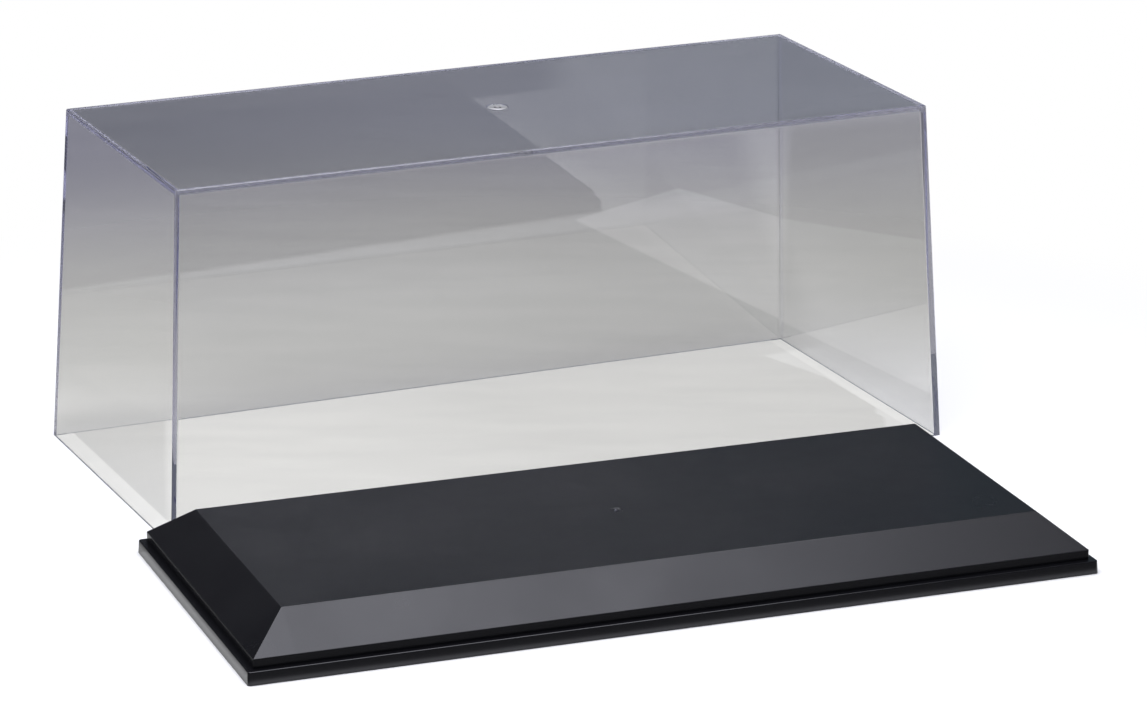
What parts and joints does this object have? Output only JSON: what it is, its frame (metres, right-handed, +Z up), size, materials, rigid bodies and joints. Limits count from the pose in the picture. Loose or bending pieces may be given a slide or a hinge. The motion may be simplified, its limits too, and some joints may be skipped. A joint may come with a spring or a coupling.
{
  "type": "model car display case",
  "caption": "Display case for a scale model car: a clear moulded cover with drafted walls, taken off its black base with a sloping-sided deck and a ledge for the cover.",
  "frame": {"origin": "centre of the base's footprint, on the table", "axes": "+X along the base's length, +Y from the base towards the cover that stands behind it, +Z up"},
  "size_m": [0.3368, 0.303, 0.1349],
  "materials": {
    "black_polystyrene": "satin",
    "clear_polystyrene": "polished"
  },
  "bodies": {
    "base": {"base_plinth": "black_polystyrene"},
    "cover": {"clear_cover": "clear_polystyrene"}
  },
  "joints": [
    {"name": "cover_lift", "type": "slide", "parent": "base", "child": "cover", "axis": [0, 0, 1], "range_m": [0, 0.135]}
  ]
}
